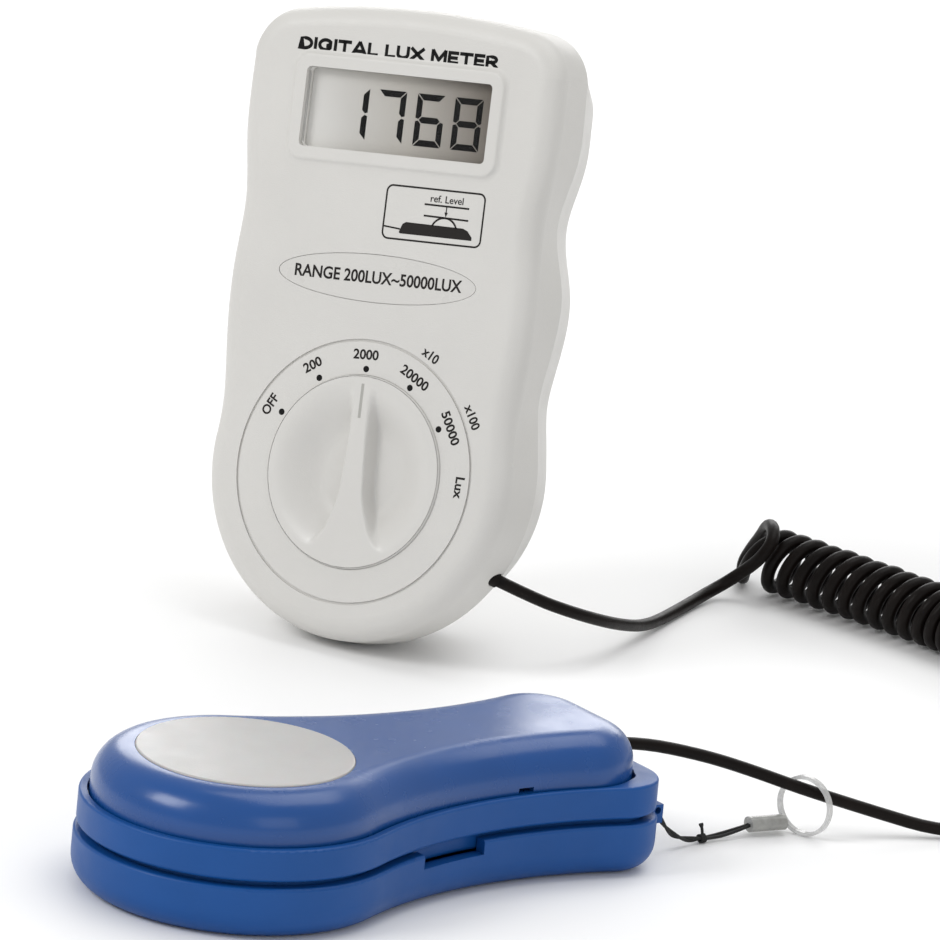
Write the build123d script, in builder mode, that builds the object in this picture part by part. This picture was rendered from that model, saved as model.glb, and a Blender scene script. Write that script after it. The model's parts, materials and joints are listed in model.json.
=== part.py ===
from build123d import *
from math import atan2, cos, hypot, pi, radians, sin, sqrt, tan
import os

os.makedirs("parts", exist_ok=True)

# A handheld light meter: a display unit that leans back on its lower edge, and a
# palm-sized light sensor that stands in its cap, joined by a curly lead.  Millimetres,
# +Z up, origin on the table under the middle of the two units.

# ---------------------------------------------------------------- where things stand
METER_SPOT = (-34.87, 60.74, 33.04)  # middle of the dial, in the plane of the face
LEAN = radians(16.1)  # the face leans back from upright
TURN = radians(7.3)  # and is turned in its own plane, right side up
SENSOR_SPOT = (29.28, -80.43, 0)  # on the table, under the middle of the light window
SENSOR_YAW = radians(67)  # the sensor's long axis, seen from above

# ---------------------------------------------------------------- meter case
# the outline at the face and at the parting line: half width at the top corners, radius of
# the round end at its widest, reach of the round end below the dial's middle, and the
# finger grips as (height on the side, how far the side draws in)
FACE_EDGE = (32.6, 31.0, 31.2, [(60.0, 0.2), (48.8, 0.9), (36.7, 1.2), (17.5, 1.3)])
PART_EDGE = (33.0, 32.6, 31.2, [(60.0, 0.3), (48.8, 2.7), (36.7, 0.1), (17.5, 2.1)])
TOP_Y = 86.3  # crown of the top edge
CROWN_R = 167.0
CORNER_R = 8.5
CASE_DEPTH = 29.0
PARTING = 11.0  # depth of the front shell
FACE_FILLET = 4.0
BACK_FILLET = 6.0
BACK_TAPER = 7.2  # the rear half draws in towards the back
BACK_CORNER_R = 15.0
WALL = 2.2
SEAM = 0.3  # step at the parting line
SIDE_TOP_Y = 76.0  # the straight corner ends and the finger grips begin
BULB_JOIN = radians(9)  # where the side meets the round bottom

WINDOW = (39.1, 14.8)
WINDOW_Y = 66.35
WINDOW_RIM = 2.6  # width of the raised frame round the display
WINDOW_WALL = 1.0  # the wall is thinner round the display
LENS_POCKET = (46.0, 19.5)
LABEL = (41.6, 9.0)  # oval range label
LABEL_Y = 35.9
SCALE_RING_R = 24.4  # fine groove round the scale
SCREW_POSTS = [(-19.0, 47.5), (19.0, 47.5), (-20.4, 27.5), (20.4, 27.5)]
POST_R = 3.2
BOARD_POSTS = [(-22.0, 40.0), (22.0, 40.0), (-20.0, -17.0), (20.0, -17.0)]

# ---------------------------------------------------------------- dial
KNOB_R = 18.0
KNOB_GAP = 0.08  # running clearance in the case
KNOB_TOP = 0.5  # proud of the face
FLANGE_R = 19.6
BOWL_DEPTH = 3.4
BOWL_R = 16.8

# ---------------------------------------------------------------- battery bay
BATTERY = (26.5, 46.0, 17.5)
BATTERY_Y = -16.5  # lower end of the battery
BAY = (28.6, 54.6)
BAY_Y = -17.2
DOOR_HALF_WIDTH = 17.0
DOOR_TOP_Y = 39.5
DOOR_THICK = 1.9

# ---------------------------------------------------------------- sensor
# each outline is a spoon: round end radius, waist half width, length beyond the middle
# of the round end, corner radius of the square end, and the waist's distance
TOP_OUTLINE = (27.1, 15.1, 80.0, 11.5, 50.0)
BAND_OUTLINE = (29.0, 16.6, 82.6, 8.5, 51.0)
CAP_OUTLINE = (29.4, 17.0, 83.0, 8.8, 51.4)
SENSOR_TOP = 25.9
BAND_Z = (11.0, 17.1)
CAP_RIM = 10.0
SHELL = 2.0
LIGHT_R = 19.7  # radius of the white light window
CABLE_EXIT_Z = 18.6
EXIT_X = 81.4
LUG = (83.4, -11.6)
SENSOR_POSTS = [(-21.0, 0.0), (64.0, -10.5), (64.0, 10.5)]

# ---------------------------------------------------------------- lead
CABLE_D = 2.3
COIL_D = 12.8
LANYARD_D = 0.9
CABLE_HOLE_R = 1.5  # in the case's edge
NOTCH = (7.0, 5.0)  # recess round it in the rear shell

# routes on the table: straight runs that are joined by arcs
METER_CABLE_ROUTE = [
    (-6.0, 67.0, 17.55), (-0.67, 72.67, 13.9), (3.73, 78.87, 11.1), (5.73, 86.77, 8.2),
    (5.23, 96.07, 5.2), (3.73, 106.37, 2.4), (2.23, 116.07, 1.3), (0.73, 129.37, 1.25),
    (-0.27, 141.67, 1.5), (1.13, 148.47, 3.4),
]
COIL_ROUTE = [
    (1.23, 150.77, 6.5), (30.83, 145.97, 6.5), (60.33, 139.07, 6.5), (87.33, 128.57, 6.5),
    (109.33, 114.07, 6.5), (122.73, 100.07, 6.5),
]
SENSOR_CABLE_ROUTE = [
    (61.25, -5.49, 18.6), (63.83, 0.77, 18.0), (71.83, 10.47, 15.3), (78.23, 17.87, 12.2),
    (85.13, 24.57, 8.9), (95.23, 35.27, 4.4), (104.53, 42.67, 1.4), (116.33, 53.57, 1.25),
    (124.83, 65.57, 1.25), (128.63, 78.07, 1.25), (127.73, 91.07, 1.6), (124.23, 98.67, 4.4),
]
RING_CENTRE = (85.73, 25.07, 5.75)
RING_HEADING = radians(88)  # the ring's axis, seen from above
RING_R = (4.95, 5.65)
CRIMP_ENDS = ((82.13, 24.17, 2.0), (78.43, 17.97, 2.0))
CRIMP_R = 1.75
LANYARD_ROUTE = [
    (78.73, 18.27, 2.0), (76.73, 13.47, 0.9), (74.93, 8.07, 0.7), (73.63, 1.67, 1.6), (72.83, -3.53, 5.0),
    (72.63, -6.73, 9.0),
]


METER = Plane(
    origin=METER_SPOT,
    x_dir=(cos(TURN), sin(TURN) * sin(LEAN), sin(TURN) * cos(LEAN)),
    z_dir=(0, -cos(LEAN), sin(LEAN)),
)
SENSOR = Plane(
    origin=SENSOR_SPOT, x_dir=(cos(SENSOR_YAW), sin(SENSOR_YAW), 0), z_dir=(0, 0, 1)
)
OUT = Axis(METER.origin, METER.z_dir)  # out of the meter's face
UP = Axis.Z


def face(height):
    """A plane parallel to the meter's face; negative heights are inside the case."""
    return METER.offset(height)


def deck(height):
    """A level plane of the sensor, at a height over the table."""
    return SENSOR.offset(height)


def polar(radius, angle):
    return (radius * cos(angle), radius * sin(angle))


def case_section(height, inset=0.0, edge=PART_EDGE, corner_r=CORNER_R):
    """The meter's outline: crowned top, finger-grip sides and a round bottom."""
    half, bulb, bottom, grips = edge
    waist = [(half - inset - depth, y) for y, depth in grips]
    half, bulb, bottom = half - inset, bulb - inset, bottom - inset
    top, corner = TOP_Y - inset, corner_r - inset
    side_y = top - corner - (TOP_Y - CORNER_R - SIDE_TOP_Y)
    crown_x = half - corner
    crown_y = top - (CROWN_R - sqrt(CROWN_R**2 - crown_x**2))
    slope = atan2(crown_x, CROWN_R)
    join_x, join_y = polar(bulb, BULB_JOIN)
    bulb_y = (bulb**2 - bottom**2) / (2 * (join_y + bottom))  # middle of the round end
    lean = atan2(join_y - bulb_y, join_x)
    with BuildSketch(face(height)) as section:
        with BuildLine():
            ThreePointArc((-crown_x, crown_y), (0, top), (crown_x, crown_y))
            for side in (1, -1):
                TangentArc(
                    (side * crown_x, crown_y),
                    (side * half, side_y),
                    tangent=(side * cos(slope), -sin(slope)),
                )
                Spline(
                    (side * half, side_y),
                    *[(side * x, y) for x, y in waist],
                    (side * join_x, join_y),
                    tangents=[(0, -1), (side * sin(lean), -cos(lean))],
                )
            ThreePointArc((join_x, join_y), (0, -bottom), (-join_x, join_y))
        make_face()
    return section.sketch


def spoon(height, outline, inset=0.0):
    """The sensor's outline on a level plane, inset inwards."""
    r, w, length, rc, xw = outline
    rho = (xw**2 + w**2 - r**2) / (2 * (r - w)) + inset
    r, w, length, rc = r - inset, w - inset, length - inset, max(rc - inset, 0.6)
    hollow = (xw, w + rho)  # centre of the waist's concave arc
    reach = hypot(*hollow)
    neck = (hollow[0] / reach * r, hollow[1] / reach * r)
    corner = (length - rc, hollow[1] - sqrt((rho + rc) ** 2 - (length - rc - xw) ** 2))
    away = hypot(corner[0] - hollow[0], corner[1] - hollow[1])
    flare = tuple(h + (c - h) / away * rho for h, c in zip(hollow, corner))
    turn = atan2(flare[1] - corner[1], flare[0] - corner[0]) / 2
    mid = (corner[0] + rc * cos(turn), corner[1] + rc * sin(turn))
    with BuildSketch(deck(height)) as section:
        with BuildLine():
            ThreePointArc(neck, (-r, 0), (neck[0], -neck[1]))
            for side in (1, -1):
                ThreePointArc(
                    (neck[0], side * neck[1]), (xw, side * w), (flare[0], side * flare[1])
                )
                ThreePointArc(
                    (flare[0], side * flare[1]), (mid[0], side * mid[1]), (length, side * corner[1])
                )
            Line((length, corner[1]), (length, -corner[1]))
        make_face()
    return section.sketch


def sensor_room():
    """The space inside the sensor's top shell."""
    with BuildPart() as room:
        extrude(spoon(15.0, TOP_OUTLINE, SHELL), amount=SENSOR_TOP - SHELL - 15.0)
        fillet(room.edges().group_by(UP)[-1], 6.8 - SHELL)
    return room.part


def cap_room():
    """The space inside the cap."""
    with BuildPart() as room:
        extrude(spoon(1.8, BAND_OUTLINE, 2.0), amount=12)
        fillet(room.edges().group_by(UP)[0], 2.6)
    return room.part


def corner_radii(name, points):
    """One arc radius for each inner point of a route, as large as its two runs allow."""
    spots = [Vector(*p) for p in points]
    radii = []
    for before, spot, after in zip(spots, spots[1:], spots[2:]):
        inward, outward = spot - before, after - spot
        turn = radians(inward.get_angle(outward))
        radii.append(0.45 * min(inward.length, outward.length) / tan(turn / 2))
    print(name, "bend radii", [round(r, 1) for r in radii])
    return radii


def route_start(points):
    """The plane across the first run of a route."""
    return Plane(origin=points[0], z_dir=Vector(*points[1]) - Vector(*points[0]))


CABLE_PLANE = route_start(METER_CABLE_ROUTE)

# ---------------------------------------------------------------- meter: front shell
with BuildPart() as front_shell:
    loft([case_section(0, edge=FACE_EDGE), case_section(-PARTING)])
    fillet(front_shell.edges().group_by(OUT)[-1], FACE_FILLET)
    # soft frame round the display
    with BuildSketch(face(-0.4)):
        with Locations((0, WINDOW_Y)):
            RectangleRounded(WINDOW[0] + 2 * WINDOW_RIM, WINDOW[1] + 2 * WINDOW_RIM, 3.2)
    extrude(amount=1.1)
    fillet(front_shell.edges().group_by(OUT)[-1], 0.65)
    foot = front_shell.edges().filter_by_position(OUT, -0.01, 0.01)
    rim_middle = METER.from_local_coords(Vector(0, WINDOW_Y, 0))
    fillet([e for e in foot if (e.center() - rim_middle).length < WINDOW[0] / 2 + 5], 1.2)
    # inside
    loft(
        [
            case_section(-WALL, inset=WALL + 0.8, edge=FACE_EDGE),
            case_section(-PARTING, inset=WALL),
        ],
        mode=Mode.SUBTRACT,
    )
    with BuildSketch(face(-WALL - 4.2)):
        with Locations((0, WINDOW_Y)):
            RectangleRounded(52, 24.6, 1.5)
            RectangleRounded(49, 21.6, 1.0, mode=Mode.SUBTRACT)
        Circle(22.2)
        Circle(20.4, mode=Mode.SUBTRACT)
        with PolarLocations(20.4, 12):
            Circle(1.0, mode=Mode.SUBTRACT)
    extrude(amount=4.4)
    with BuildSketch(face(-6.5)):
        with Locations(*BOARD_POSTS):
            Circle(2.6)
            Circle(0.9, mode=Mode.SUBTRACT)
    extrude(amount=4.4)
    with BuildSketch(face(-PARTING + 0.6)):
        with Locations(*SCREW_POSTS):
            Circle(POST_R)
            Circle(1.1, mode=Mode.SUBTRACT)
    extrude(amount=PARTING - WALL - 0.5)
    # pocket that takes the lens
    with BuildSketch(face(-WALL - 0.1)):
        with Locations((0, WINDOW_Y)):
            RectangleRounded(*LENS_POCKET, 1.0)
    extrude(amount=WALL + 0.1 - WINDOW_WALL, mode=Mode.SUBTRACT)
    # openings and fine marks of the face
    with BuildSketch(face(-WALL - 0.1)):
        with Locations((0, WINDOW_Y)):
            RectangleRounded(*WINDOW, 0.9)
        Circle(KNOB_R + KNOB_GAP)
    extrude(amount=6, mode=Mode.SUBTRACT)
    with BuildSketch(face(-0.35)):
        with Locations((0, LABEL_Y)):
            Ellipse(LABEL[0] / 2, LABEL[1] / 2)
        Circle(SCALE_RING_R + 0.25)
        Circle(SCALE_RING_R - 0.25, mode=Mode.SUBTRACT)
    extrude(amount=2, mode=Mode.SUBTRACT)
    # hole for the cable
    with BuildSketch(CABLE_PLANE):
        Circle(CABLE_HOLE_R)
    extrude(amount=12, both=True, mode=Mode.SUBTRACT)
front_shell.part.label = "front_shell"
export_step(front_shell.part, "parts/front_shell.step")


# ---------------------------------------------------------------- meter: rear shell
def rear_block():
    """The rear half of the case as one block, rounded at the back."""
    with BuildPart() as block:
        back = case_section(-CASE_DEPTH, BACK_TAPER, corner_r=BACK_CORNER_R)
        loft([case_section(-PARTING, SEAM), back])
        fillet(block.edges().group_by(OUT)[0], BACK_FILLET)
    return block.part


def rear_room():
    """The space inside the rear half."""
    with BuildPart() as room:
        back = case_section(-CASE_DEPTH + WALL, BACK_TAPER + 1.4, corner_r=BACK_CORNER_R)
        loft([case_section(-PARTING, SEAM + WALL), back])
        fillet(room.edges().group_by(OUT)[0], BACK_FILLET - WALL)
    return room.part


with BuildPart() as rear_shell:
    add(rear_block())
    add(rear_room(), mode=Mode.SUBTRACT)
    # walls and floor of the battery bay
    bay_middle = BAY_Y + BAY[1] / 2
    with BuildSketch(face(-CASE_DEPTH + DOOR_THICK + 0.3)):
        with Locations((0, bay_middle)):
            Rectangle(BAY[0] + 2.6, BAY[1] + 2.6)
        with Locations((0, DOOR_TOP_Y / 2 + 6)):
            Rectangle(2 * DOOR_HALF_WIDTH + 3, DOOR_TOP_Y - 9)
    extrude(amount=1.6)
    with BuildSketch(face(-8.0)):
        with Locations((0, bay_middle)):
            Rectangle(BAY[0] + 2.6, BAY[1] + 2.6)
    extrude(amount=-(CASE_DEPTH - 8.0 - DOOR_THICK - 0.3))
    with BuildSketch(face(-8.8)):
        with Locations((0, bay_middle)):
            Rectangle(*BAY)
    extrude(amount=-CASE_DEPTH, mode=Mode.SUBTRACT)
    # slot in the bay's end wall for the battery leads
    with BuildSketch(face(-16.0)):
        with Locations((0, BAY_Y + BAY[1] + 1)):
            Rectangle(13.6, 5)
    extrude(amount=-3.6, mode=Mode.SUBTRACT)
    # posts for the case screws
    with BuildSketch(face(-PARTING - 0.2)):
        with Locations(*SCREW_POSTS):
            Circle(POST_R)
    extrude(amount=-(CASE_DEPTH - PARTING - 1.2))
    with BuildSketch(face(-PARTING)):
        with Locations(*SCREW_POSTS):
            Circle(1.6)
    extrude(amount=-CASE_DEPTH, mode=Mode.SUBTRACT)
    with BuildSketch(face(-CASE_DEPTH + 4.2)):
        with Locations(*SCREW_POSTS):
            Circle(2.7)
    extrude(amount=-8, mode=Mode.SUBTRACT)
    # track of the battery door, open at the bottom edge
    with BuildSketch(face(-CASE_DEPTH + DOOR_THICK + 0.3)):
        with Locations((0, DOOR_TOP_Y + 0.3)):
            Rectangle(2 * DOOR_HALF_WIDTH + 0.6, 90, align=(Align.CENTER, Align.MAX))
    extrude(amount=-8, mode=Mode.SUBTRACT)
    # hole for the cable, in a recess
    with BuildSketch(CABLE_PLANE):
        Circle(CABLE_HOLE_R)
    extrude(amount=12, both=True, mode=Mode.SUBTRACT)
    with BuildSketch(CABLE_PLANE.offset(0.8)):
        RectangleRounded(*NOTCH, 0.6)
    extrude(amount=12, mode=Mode.SUBTRACT)
rear_shell.part.label = "rear_shell"
export_step(rear_shell.part, "parts/rear_shell.step")

with BuildPart() as battery_door:
    add(rear_block())
    with BuildSketch(face(-CASE_DEPTH - 1)):
        with Locations((0, DOOR_TOP_Y)):
            Rectangle(2 * DOOR_HALF_WIDTH, 90, align=(Align.CENTER, Align.MAX))
    extrude(amount=1 + DOOR_THICK, mode=Mode.INTERSECT)
    # thumb ridges near the top
    with BuildSketch(face(-CASE_DEPTH + 0.6)):
        with Locations((0, DOOR_TOP_Y - 9)):
            with GridLocations(0, 2.2, 1, 5):
                RectangleRounded(16, 0.9, 0.4)
    extrude(amount=-2, mode=Mode.SUBTRACT)
battery_door.part.label = "battery_door"
export_step(battery_door.part, "parts/battery_door.step")


# ---------------------------------------------------------------- meter: display
LENS_BACK = -WINDOW_WALL - 0.9
CHIP_SPOT = (-2, 54)
TRIM_POTS = [(11.2, 51.0), (11.2, 59.0)]
LCD_BACK = LENS_BACK - 1.9
BOARD_FRONT, BOARD_BACK = -6.6, -7.8

with BuildPart() as display_lens:
    with BuildSketch(face(LENS_BACK)):
        with Locations((0, WINDOW_Y)):
            RectangleRounded(LENS_POCKET[0] - 0.4, LENS_POCKET[1] - 0.4, 0.8)
    extrude(amount=0.8)
    with BuildSketch(face(LENS_BACK)):
        with Locations((0, WINDOW_Y)):
            RectangleRounded(WINDOW[0] - 0.2, WINDOW[1] - 0.2, 0.8)
    extrude(amount=1.6)
display_lens.part.label = "display_lens"
export_step(display_lens.part, "parts/display_lens.step")

with BuildPart() as lcd_glass:
    with BuildSketch(face(LCD_BACK)):
        with Locations((0, WINDOW_Y)):
            Rectangle(44, 18.4)
    extrude(amount=1.8)
lcd_glass.part.label = "lcd_glass"
export_step(lcd_glass.part, "parts/lcd_glass.step")

with BuildPart() as lcd_frame:
    with BuildSketch(face(BOARD_FRONT)):
        with Locations((0, WINDOW_Y)):
            RectangleRounded(48.6, 21.2, 1)
            Rectangle(44.3, 18.7, mode=Mode.SUBTRACT)
    extrude(amount=-WALL - 0.1 - BOARD_FRONT)
    with BuildSketch(face(BOARD_FRONT)):
        with Locations((0, WINDOW_Y)):
            Rectangle(45, 5)
    extrude(amount=LCD_BACK - 0.1 - BOARD_FRONT)
lcd_frame.part.label = "lcd_frame"
export_step(lcd_frame.part, "parts/lcd_frame.step")

with BuildPart() as contact_strips:
    with BuildSketch(face(BOARD_FRONT)):
        with Locations((0, WINDOW_Y - 7.4), (0, WINDOW_Y + 7.4)):
            Rectangle(42, 2.4)
    extrude(amount=LCD_BACK - BOARD_FRONT)
contact_strips.part.label = "contact_strips"
export_step(contact_strips.part, "parts/contact_strips.step")


# ---------------------------------------------------------------- meter: electronics
with BuildPart() as main_board:
    loft([case_section(BOARD_FRONT, 3.9), case_section(BOARD_BACK, 3.9)])
    with BuildSketch(face(BOARD_FRONT)):
        with Locations(*SCREW_POSTS):
            Circle(POST_R + 0.4)
        with Locations(*BOARD_POSTS):
            Circle(1.2)
    extrude(amount=-3, mode=Mode.SUBTRACT)
main_board.part.label = "main_board"
export_step(main_board.part, "parts/main_board.step")

with BuildPart() as board_screws:
    with BuildSketch(face(BOARD_BACK)):
        with Locations(*BOARD_POSTS):
            Circle(2.0)
    extrude(amount=-1.2)
    with BuildSketch(face(BOARD_BACK)):
        with Locations(*BOARD_POSTS):
            Circle(0.9)
    extrude(amount=4.5)
    with BuildSketch(face(BOARD_BACK - 1.3)):
        with Locations(*BOARD_POSTS):
            Rectangle(2.6, 0.5)
            Rectangle(0.5, 2.6)
    extrude(amount=0.6, mode=Mode.SUBTRACT)
board_screws.part.label = "board_screws"
export_step(board_screws.part, "parts/board_screws.step")

with BuildPart() as meter_chip:
    with BuildSketch(face(BOARD_BACK)):
        with Locations(CHIP_SPOT):
            RectangleRounded(14, 14, 0.6)
    extrude(amount=-2.0)
    with BuildSketch(face(BOARD_BACK)):
        with Locations(CHIP_SPOT):
            with GridLocations(1.2, 0, 11, 1):
                Rectangle(0.4, 17.4)
            with GridLocations(0, 1.2, 1, 11):
                Rectangle(17.4, 0.4)
    extrude(amount=-0.9)
meter_chip.part.label = "meter_chip"
export_step(meter_chip.part, "parts/meter_chip.step")

with BuildPart() as trim_pots:
    with BuildSketch(face(BOARD_BACK)):
        with Locations(*TRIM_POTS):
            Rectangle(6.8, 6.8)
    extrude(amount=-4.2)
    with BuildSketch(face(BOARD_BACK - 4.2)):
        with Locations(*TRIM_POTS):
            Circle(2.2)
            Rectangle(3.2, 0.7, rotation=30, mode=Mode.SUBTRACT)
    extrude(amount=-0.5)
trim_pots.part.label = "trim_pots"
export_step(trim_pots.part, "parts/trim_pots.step")


# ---------------------------------------------------------------- meter: dial
RIB = [(0.0, 17.2), (1.9, 17.0), (2.0, 6.0), (2.7, -5.0), (5.4, -12.5), (8.6, -15.2)]
KNOB_BACK = -2.3
FLANGE_BACK = -4.3

with BuildPart() as dial_knob:
    with BuildSketch(face(KNOB_BACK)):
        Circle(KNOB_R)
    extrude(amount=KNOB_TOP - KNOB_BACK)
    fillet(dial_knob.edges().group_by(OUT)[-1], 0.35)
    with BuildSketch(face(FLANGE_BACK)):
        Circle(FLANGE_R)
    extrude(amount=KNOB_BACK - 0.2 - FLANGE_BACK)
    with BuildSketch(face(FLANGE_BACK)):
        Circle(KNOB_R)
    extrude(amount=2.2)
    # shallow bowl on each side of the finger rib
    sphere_r = (BOWL_R**2 + BOWL_DEPTH**2) / (2 * BOWL_DEPTH)
    with Locations(face(KNOB_TOP - BOWL_DEPTH + sphere_r).location):
        Sphere(sphere_r, mode=Mode.SUBTRACT)
    with BuildSketch(face(FLANGE_BACK)):
        with BuildLine():
            Spline(*RIB[1:], tangents=[(0, -1), (1, -0.35)])
            Spline(*[(-x, y) for x, y in RIB[1:]], tangents=[(0, -1), (-1, -0.35)])
            ThreePointArc((-RIB[1][0], RIB[1][1]), RIB[0], RIB[1])
            ThreePointArc((-RIB[-1][0], RIB[-1][1]), (0, -17.4), RIB[-1])
        make_face()
    extrude(amount=KNOB_TOP - FLANGE_BACK)
    # pockets of the two detent balls, and the pointer's slot
    with BuildSketch(Plane(METER * Pos(0, 0, FLANGE_BACK + 0.92) * Rot(0, 90, 0))):
        Circle(0.62)
    extrude(amount=30, both=True, mode=Mode.SUBTRACT)
    with BuildSketch(face(KNOB_TOP - 0.3)):
        with Locations((0, 13.2)):
            Rectangle(0.6, 6.4)
    extrude(amount=1, mode=Mode.SUBTRACT)
dial_knob.part.label = "dial_knob"
export_step(dial_knob.part, "parts/dial_knob.step")

with BuildPart() as dial_pointer:
    with BuildSketch(face(KNOB_TOP - 0.3)):
        with Locations((0, 13.2)):
            Rectangle(0.56, 6.36)
    extrude(amount=0.32)
dial_pointer.part.label = "dial_pointer"
export_step(dial_pointer.part, "parts/dial_pointer.step")

with BuildPart() as switch_rotor:
    with BuildSketch(face(FLANGE_BACK)):
        Circle(12.5)
    extrude(amount=-1.5)
    with BuildSketch(face(FLANGE_BACK - 1.5)):
        with PolarLocations(9.6, 6):
            Circle(1.2)
    extrude(amount=0.7, mode=Mode.SUBTRACT)
switch_rotor.part.label = "switch_rotor"
export_step(switch_rotor.part, "parts/switch_rotor.step")

with BuildPart() as wiper_contacts:
    for radius in (5.0, 7.6, 10.6):
        with BuildSketch(face(FLANGE_BACK - 1.5)):
            with BuildLine():
                arc = CenterArc((0, 0), radius, 15 * radius, 46)
                offset(arc, 0.45, side=Side.BOTH)
            make_face()
        extrude(amount=-0.65)
wiper_contacts.part.label = "wiper_contacts"
export_step(wiper_contacts.part, "parts/wiper_contacts.step")

DETENT = face(FLANGE_BACK + 0.92)
with BuildPart() as detent_balls:
    with Locations(DETENT.location):
        with Locations((19.5, 0, 0), (-19.5, 0, 0)):
            Sphere(0.6)
detent_balls.part.label = "detent_balls"
export_step(detent_balls.part, "parts/detent_balls.step")

with BuildPart() as detent_springs:
    with Locations(DETENT.location):
        with Locations((17.2, 0, 0), (-17.2, 0, 0)):
            Cylinder(0.55, 3.2, rotation=(0, 90, 0))
            Cylinder(0.35, 3.2, rotation=(0, 90, 0), mode=Mode.SUBTRACT)
detent_springs.part.label = "detent_springs"
export_step(detent_springs.part, "parts/detent_springs.step")

with BuildPart() as range_label:
    with BuildSketch(face(-0.35)):
        with Locations((0, LABEL_Y)):
            Ellipse(LABEL[0] / 2 - 0.12, LABEL[1] / 2 - 0.12)
    extrude(amount=0.3)
range_label.part.label = "range_label"
export_step(range_label.part, "parts/range_label.step")

with BuildPart() as case_screws:
    with BuildSketch(face(-CASE_DEPTH + 4.2)):
        with Locations(*SCREW_POSTS):
            Circle(2.5)
    extrude(amount=-1.8)
    fillet(case_screws.edges().group_by(OUT)[0], 0.7)
    with BuildSketch(face(-CASE_DEPTH + 4.2)):
        with Locations(*SCREW_POSTS):
            Circle(1.1)
    extrude(amount=18)
    with BuildSketch(face(-CASE_DEPTH + 2.3)):
        with Locations(*SCREW_POSTS):
            Rectangle(3.0, 0.7)
            Rectangle(0.7, 3.0)
    extrude(amount=1.1, mode=Mode.SUBTRACT)
case_screws.part.label = "case_screws"
export_step(case_screws.part, "parts/case_screws.step")


# ---------------------------------------------------------------- meter: battery
BATTERY_FRONT = -9.1
SNAP_TOP = BATTERY_Y + BATTERY[1] + 5.6
LEAD_D = 1.1
with BuildPart() as battery:
    with BuildSketch(face(BATTERY_FRONT)):
        with Locations((0, BATTERY_Y)):
            RectangleRounded(BATTERY[0], BATTERY[1], 1.6, align=(Align.CENTER, Align.MIN))
    extrude(amount=-BATTERY[2])
battery.part.label = "battery"
export_step(battery.part, "parts/battery.step")

TERMINALS = Plane(METER * Pos(0, BATTERY_Y + BATTERY[1], BATTERY_FRONT - 8.75) * Rot(-90, 0, 0))
with BuildPart() as battery_terminals:
    with BuildSketch(TERMINALS):
        with Locations((6.35, 0), (-6.35, 0)):
            Circle(2.9)
    extrude(amount=2.6)
battery_terminals.part.label = "battery_terminals"
export_step(battery_terminals.part, "parts/battery_terminals.step")

with BuildPart() as battery_snap:
    with BuildSketch(TERMINALS):
        RectangleRounded(25.4, 11.6, 3)
    extrude(amount=5.6)
    with BuildSketch(TERMINALS):
        with Locations((6.35, 0), (-6.35, 0)):
            Circle(3.1)
    extrude(amount=2.9, mode=Mode.SUBTRACT)
    with BuildSketch(TERMINALS):
        RectangleRounded(26, 12.6, 3)
    extrude(amount=0.5, mode=Mode.SUBTRACT)
battery_snap.part.label = "battery_snap"
export_step(battery_snap.part, "parts/battery_snap.step")

with BuildPart() as battery_leads:
    for side in (1, -1):
        route = [
            METER.from_local_coords(Vector(side * x, y, z))
            for x, y, z in ((5.0, SNAP_TOP + 0.02, -17.8), (5.4, 41.6, -17.6), (8.6, 44.4, -12.6), (8.8, 44.6, BOARD_BACK - 0.02))
        ]
        with BuildLine():
            FilletPolyline(*route, radius=1.2)
        with BuildSketch(Plane(origin=route[0], z_dir=route[1] - route[0])):
            Circle(LEAD_D / 2)
        sweep()
battery_leads.part.label = "battery_leads"
export_step(battery_leads.part, "parts/battery_leads.step")


# ---------------------------------------------------------------- lead
def cable(points, diameter, name):
    """A tube along a route of straight runs and arcs."""
    with BuildPart() as tube:
        with BuildLine() as line:
            FilletPolyline(*points, radius=corner_radii(name, points))
        with BuildSketch(route_start(points)):
            Circle(diameter / 2)
        sweep()
    length = line.wires()[0].length
    fill = tube.part.volume / (pi * diameter**2 / 4 * length)
    print(name, "length", round(length, 1), "volume over section times length", round(fill, 4))
    return tube.part


with BuildPart() as meter_bushing:
    with BuildSketch(CABLE_PLANE):
        Circle(CABLE_HOLE_R - 0.05)
    extrude(amount=-2.4)
meter_bushing.part.label = "meter_bushing"
export_step(meter_bushing.part, "parts/meter_bushing.step")

with BuildPart() as meter_cable:
    add(cable(METER_CABLE_ROUTE, CABLE_D, "meter cable"))
meter_cable.part.label = "meter_cable"
export_step(meter_cable.part, "parts/meter_cable.step")

with BuildPart() as curly_cord:
    add(cable(COIL_ROUTE, COIL_D, "curly cord"))
curly_cord.part.label = "curly_cord"
export_step(curly_cord.part, "parts/curly_cord.step")

with BuildPart() as sensor_cable:
    add(cable(SENSOR_CABLE_ROUTE, CABLE_D, "sensor cable"))
sensor_cable.part.label = "sensor_cable"
export_step(sensor_cable.part, "parts/sensor_cable.step")


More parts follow.
